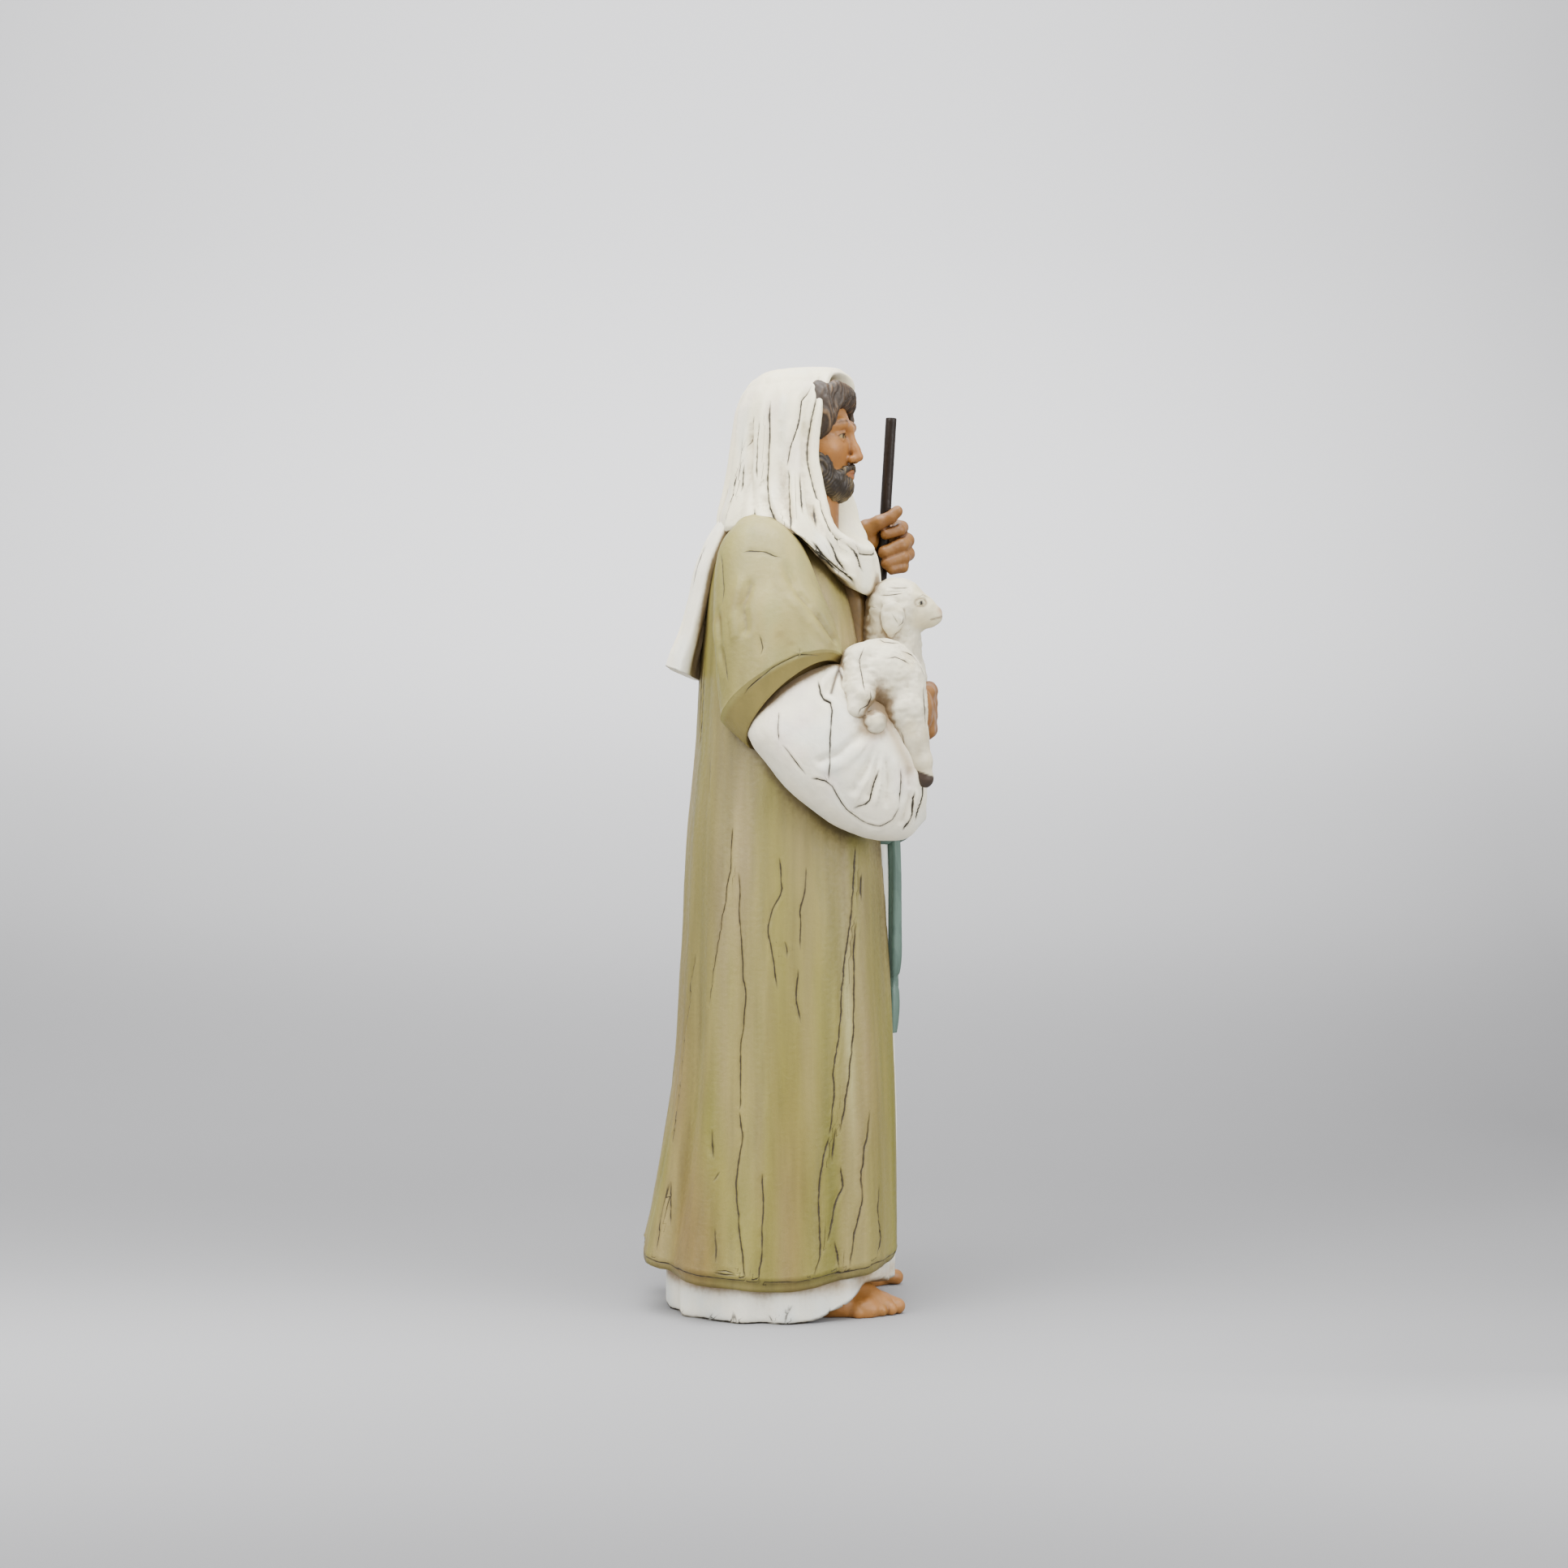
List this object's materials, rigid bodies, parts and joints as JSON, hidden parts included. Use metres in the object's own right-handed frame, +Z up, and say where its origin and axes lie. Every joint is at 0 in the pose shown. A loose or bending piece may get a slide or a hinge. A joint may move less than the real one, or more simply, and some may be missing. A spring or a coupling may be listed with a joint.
{
  "type": "good shepherd figurine",
  "caption": "Standing robed shepherd with a headscarf and a short beard, a lamb on his right arm and a thin loose staff in his left fist.",
  "frame": {"origin": "on the flat underside, below the middle of the robes", "axes": "+Z up, the figure faces -Y, and its own left hand, with the staff, is at +X"},
  "size_m": [0.0935, 0.0896, 0.2801],
  "materials": {
    "painted_resin": "hand-painted cast stone resin, antiqued in the grooves, satin",
    "painted_staff": "thin round wooden rod, painted dark brown, satin"
  },
  "bodies": {
    "root": {"shepherd_with_lamb": "painted_resin", "staff": "painted_staff"}
  },
  "joints": []
}
